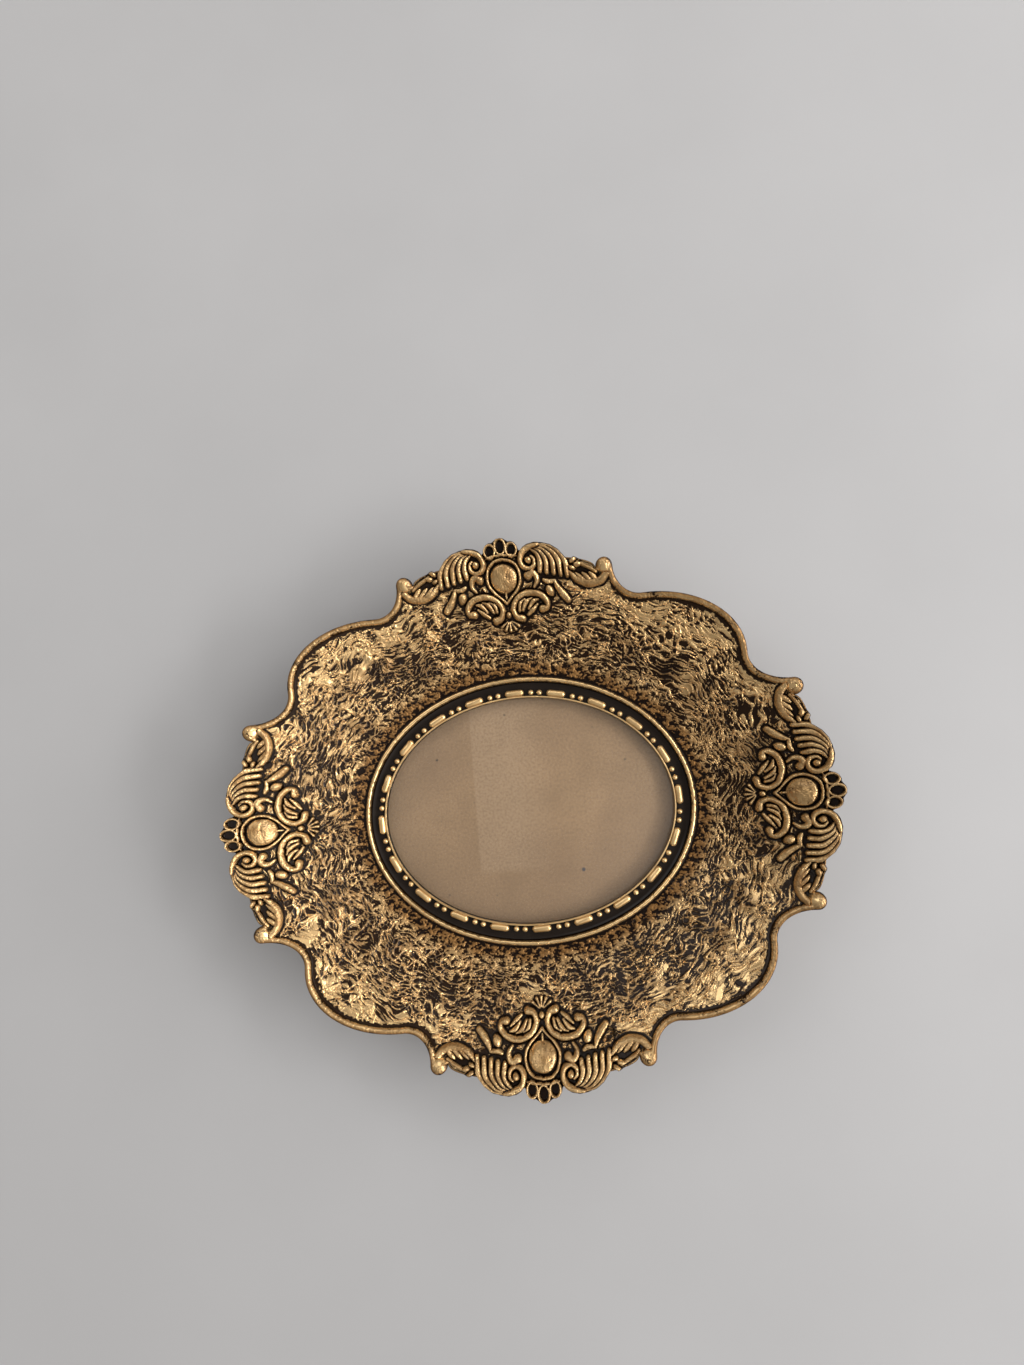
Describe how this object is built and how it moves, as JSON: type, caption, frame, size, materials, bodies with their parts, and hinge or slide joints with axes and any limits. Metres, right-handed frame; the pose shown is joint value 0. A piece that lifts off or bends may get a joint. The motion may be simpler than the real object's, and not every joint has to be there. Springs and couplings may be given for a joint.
{
  "type": "picture frame",
  "caption": "Oval baroque picture frame: scalloped dished metal border with cast cartouches, a beaded slip round a glazed opening, turn buttons and a hanging ring at the back.",
  "frame": {"origin": "middle of the back, on the plane that the foot wall rests on", "axes": "+Z out of the picture, +X along the long axis of the oval, +Y to the side that hangs uppermost"},
  "size_m": [0.262, 0.233, 0.0398],
  "materials": {
    "antique_brass": "crinkled cast brass, bright on the ridges, with near-black patina in the hollows",
    "ornament_brass": "polished cast brass with dark patina in the grooves",
    "black_slip": "black paint with rubbed gilt beads",
    "picture_glass": "clear and polished",
    "tan_card": "matt, with a few specks",
    "board_wood": "plain brown board",
    "hanger_brass": "stamped and rolled brass strip and wire",
    "screw_steel": "plain steel"
  },
  "bodies": {
    "frame": {"border_casting": "antique_brass", "cartouche_top": "ornament_brass", "cartouche_left": "ornament_brass", "cartouche_bottom": "ornament_brass", "cartouche_right": "ornament_brass", "sight_slip": "black_slip", "glass_pane": "picture_glass", "picture_card": "tan_card", "backing_board": "board_wood", "turn_button_screw_top_right": "screw_steel", "turn_button_screw_top_left": "screw_steel", "turn_button_screw_bottom_left": "screw_steel", "turn_button_screw_bottom_right": "screw_steel", "hanger_plate": "hanger_brass", "hanger_screw_inner": "screw_steel", "hanger_screw_outer": "screw_steel"},
    "button_top_right": {"turn_button_top_right": "hanger_brass"},
    "button_top_left": {"turn_button_top_left": "hanger_brass"},
    "button_bottom_left": {"turn_button_bottom_left": "hanger_brass"},
    "button_bottom_right": {"turn_button_bottom_right": "hanger_brass"},
    "ring": {"hanger_ring": "hanger_brass"}
  },
  "joints": [
    {"name": "button_top_right_turn", "type": "hinge", "parent": "frame", "child": "button_top_right", "pos_m": [0.05607, 0.04582, 0.0023], "axis": [0, 0, 1], "continuous": true},
    {"name": "button_top_left_turn", "type": "hinge", "parent": "frame", "child": "button_top_left", "pos_m": [-0.05607, 0.04582, 0.0023], "axis": [0, 0, 1], "continuous": true},
    {"name": "button_bottom_left_turn", "type": "hinge", "parent": "frame", "child": "button_bottom_left", "pos_m": [-0.05607, -0.04582, 0.0023], "axis": [0, 0, 1], "continuous": true},
    {"name": "button_bottom_right_turn", "type": "hinge", "parent": "frame", "child": "button_bottom_right", "pos_m": [0.05607, -0.04582, 0.0023], "axis": [0, 0, 1], "continuous": true},
    {"name": "ring_swing", "type": "hinge", "parent": "frame", "child": "ring", "pos_m": [0, 0.0968, 0.0149], "axis": [1, 0, 0], "range_deg": [-70, 110]}
  ]
}
